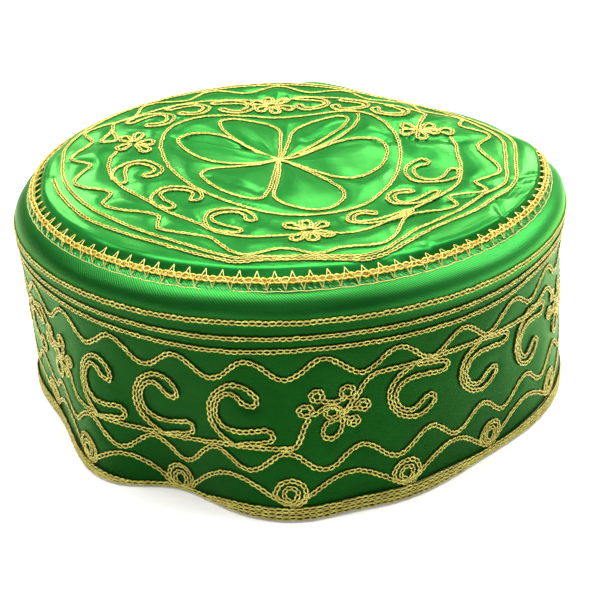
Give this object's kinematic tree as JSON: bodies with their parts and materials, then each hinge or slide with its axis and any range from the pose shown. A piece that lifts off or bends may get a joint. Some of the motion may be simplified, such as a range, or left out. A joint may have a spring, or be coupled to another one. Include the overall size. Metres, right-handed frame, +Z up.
{
  "type": "embroidered ceremonial cap",
  "caption": "Round soft satin cap with a near-flat crown, a tall side band, couched top cord, gold chain-stitch scrollwork and a thick stitched rim edging.",
  "frame": {"origin": "centre of the bounding box, in the plane of the rim that the cap rests on", "axes": "+Z up through the crown, -Y towards the front that shows its embroidery, +X to the wearer's left of that view"},
  "size_m": [0.1904, 0.19, 0.0842],
  "materials": {
    "band_satin": "deep green satin with a soft sheen",
    "crown_satin": "bright green satin with a strong sheen",
    "gold_thread": "gold rayon embroidery thread, in chain stitch and close rows"
  },
  "bodies": {
    "root": {"side_band": "band_satin", "crown_panel": "crown_satin", "rim_edging": "gold_thread", "seam_cord": "gold_thread"}
  },
  "joints": []
}
